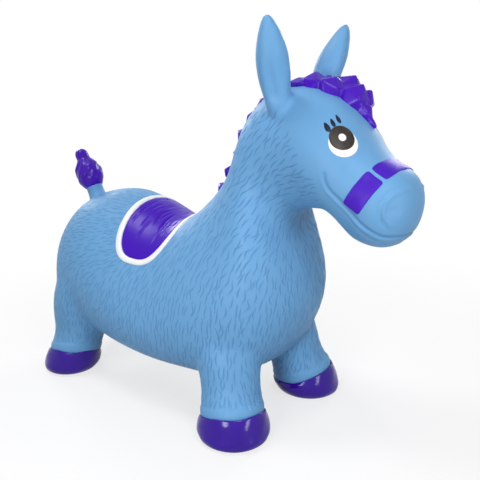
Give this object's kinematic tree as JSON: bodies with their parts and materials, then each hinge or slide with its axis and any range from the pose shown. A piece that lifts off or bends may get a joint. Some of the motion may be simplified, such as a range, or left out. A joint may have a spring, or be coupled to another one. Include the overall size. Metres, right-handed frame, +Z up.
{
  "type": "inflatable hopper horse",
  "caption": "Inflatable ride-on hopper horse: hollow vinyl body, upright grip ears, moulded saddle, noseband and hooves, springy tail and a push-in air plug.",
  "frame": {"origin": "middle of the footprint, on the floor under the hooves", "axes": "+X towards the horse's nose, +Y to its left, +Z up"},
  "size_m": [0.5448, 0.2452, 0.4725],
  "materials": {
    "blue_vinyl": "satin, with engraved hair strokes",
    "purple_vinyl": "gloss paint",
    "white_vinyl": "satin paint",
    "dark_vinyl": "gloss paint",
    "plug_plastic": "moulded"
  },
  "bodies": {
    "horse": {"rump_skin": "blue_vinyl", "barrel_skin": "blue_vinyl", "withers_skin": "blue_vinyl", "chest_skin": "blue_vinyl", "neck_skin": "blue_vinyl", "head_skin": "blue_vinyl", "muzzle_skin": "blue_vinyl", "leg_front_left": "blue_vinyl", "leg_front_right": "blue_vinyl", "leg_rear_left": "blue_vinyl", "leg_rear_right": "blue_vinyl", "hoof_front_left": "purple_vinyl", "hoof_front_right": "purple_vinyl", "hoof_rear_left": "purple_vinyl", "hoof_rear_right": "purple_vinyl", "mane": "purple_vinyl", "forelock": "purple_vinyl", "saddle_panel": "purple_vinyl", "noseband_bridge": "purple_vinyl", "noseband_cheek_left": "purple_vinyl", "noseband_cheek_right": "purple_vinyl", "saddle_border": "white_vinyl", "eye_white_left": "white_vinyl", "eye_highlight_left": "white_vinyl", "eye_white_right": "white_vinyl", "eye_highlight_right": "white_vinyl", "iris_left": "dark_vinyl", "iris_right": "dark_vinyl", "lash_outer_left": "dark_vinyl", "lash_middle_left": "dark_vinyl", "lash_inner_left": "dark_vinyl", "lash_outer_right": "dark_vinyl", "lash_middle_right": "dark_vinyl", "lash_inner_right": "dark_vinyl"},
    "ear_left": {"ear_left": "blue_vinyl"},
    "ear_right": {"ear_right": "blue_vinyl"},
    "tail": {"tail_stem": "blue_vinyl", "tail_tuft": "purple_vinyl"},
    "air_plug": {"air_plug": "plug_plastic"}
  },
  "joints": [
    {"name": "ear_left_bend", "type": "hinge", "parent": "horse", "child": "ear_left", "pos_m": [0.12901, 0.041, 0.38112], "axis": [0, 0.9245, -0.3811], "range_deg": [-20, 20], "stiffness_Nm_per_rad": 2},
    {"name": "ear_right_bend", "type": "hinge", "parent": "horse", "child": "ear_right", "pos_m": [0.12901, -0.041, 0.38112], "axis": [0, 0.9245, 0.3811], "range_deg": [-20, 20], "stiffness_Nm_per_rad": 2},
    {"name": "tail_bend", "type": "hinge", "parent": "horse", "child": "tail", "pos_m": [-0.22899, 0, 0.23401], "axis": [0, 1, 0], "range_deg": [-25, 25], "stiffness_Nm_per_rad": 1},
    {"name": "plug_pull", "type": "slide", "parent": "horse", "child": "air_plug", "axis": [0, 0, -1], "range_m": [0, 0.025]}
  ]
}
